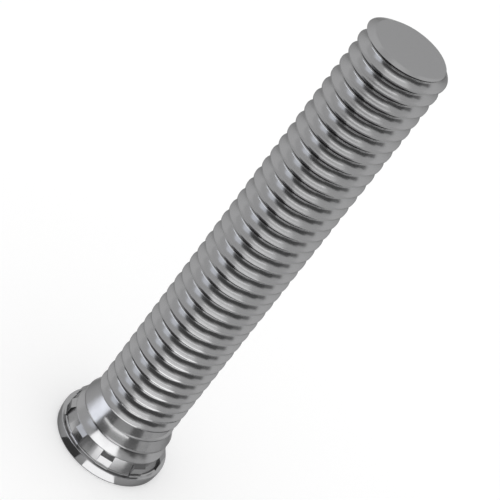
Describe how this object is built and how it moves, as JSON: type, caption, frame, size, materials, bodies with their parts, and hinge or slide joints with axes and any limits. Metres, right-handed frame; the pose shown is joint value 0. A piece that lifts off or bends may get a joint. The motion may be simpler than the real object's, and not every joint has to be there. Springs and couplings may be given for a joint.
{
  "type": "self-clinching stud",
  "caption": "Self-clinching stud: flush disc head with a ribbed clinching ring, undercut and collar, tapered neck and a fully threaded shank with a chamfered tip.",
  "frame": {"origin": "centre of the head's flush face, on which the stud stands", "axes": "+Z along the thread, from the flush face to the tip; the first rib is 80.4 degrees clockwise from +X, seen from the tip"},
  "size_m": [0.0064, 0.0064, 0.03],
  "materials": {
    "steel": "smooth turned and rolled steel with a satin bright plating"
  },
  "bodies": {
    "root": {"stud": "steel"}
  },
  "joints": []
}
